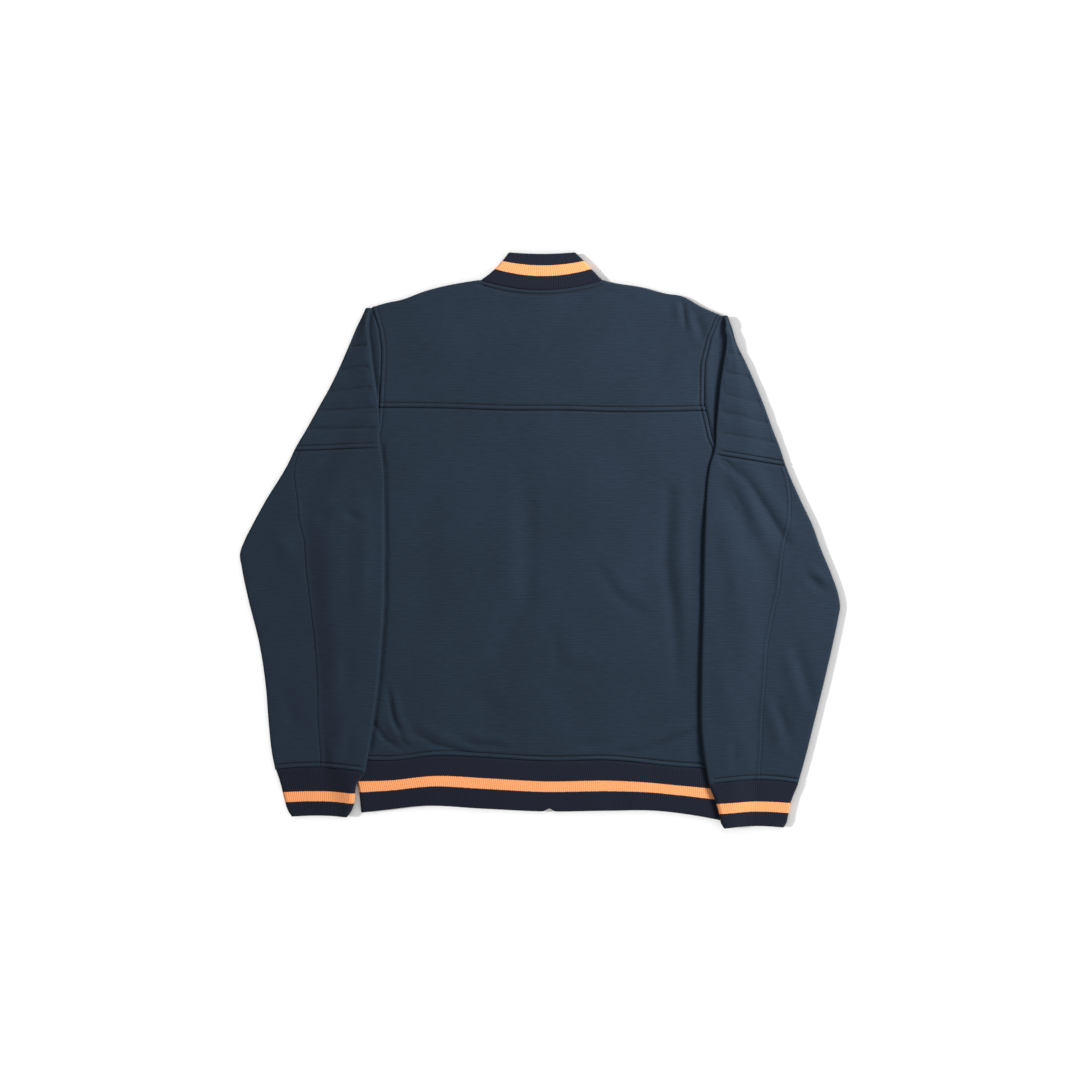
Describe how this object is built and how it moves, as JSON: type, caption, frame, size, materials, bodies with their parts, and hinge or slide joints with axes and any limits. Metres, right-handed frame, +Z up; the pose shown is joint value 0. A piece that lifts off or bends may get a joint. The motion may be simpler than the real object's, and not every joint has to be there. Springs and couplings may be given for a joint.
{
  "type": "bomber jacket laid flat, back up",
  "caption": "Knit bomber jacket laid flat with its back up: quilted sleeve tops, striped rib collar, cuffs and hem, front zip with a turning pull tab.",
  "frame": {"origin": "middle of the underside, on the surface that the jacket lies on", "axes": "+X to the right as seen from above, across the sleeves; +Y towards the collar; +Z up, out of the back"},
  "size_m": [0.7789, 0.746, 0.0151],
  "materials": {
    "main_cloth": "fine cross-ribbed navy knit",
    "rib_knit": "dark rib knit with an orange stripe",
    "zip_tape": "woven tape",
    "zip_metal": "bright nickel"
  },
  "bodies": {
    "jacket": {"back_body": "main_cloth", "back_yoke": "main_cloth", "front_left": "main_cloth", "front_right": "main_cloth", "sleeve_cap_left": "main_cloth", "sleeve_cap_right": "main_cloth", "sleeve_back_left": "main_cloth", "sleeve_back_right": "main_cloth", "sleeve_front_left": "main_cloth", "sleeve_front_right": "main_cloth", "cuff_left": "rib_knit", "cuff_right": "rib_knit", "hem_rib": "rib_knit", "collar_rib": "rib_knit", "zip_tape_left": "zip_tape", "zip_tape_right": "zip_tape", "zip_teeth_left": "zip_metal", "zip_teeth_right": "zip_metal", "zip_slider": "zip_metal", "zip_box": "zip_metal"},
    "pull_tab": {"zip_pull_tab": "zip_metal"}
  },
  "joints": [
    {"name": "pull_tab_turn", "type": "hinge", "parent": "jacket", "child": "pull_tab", "pos_m": [0.012, 0.291, 0.00075], "axis": [1, 0, 0], "range_deg": [0, 165]}
  ]
}
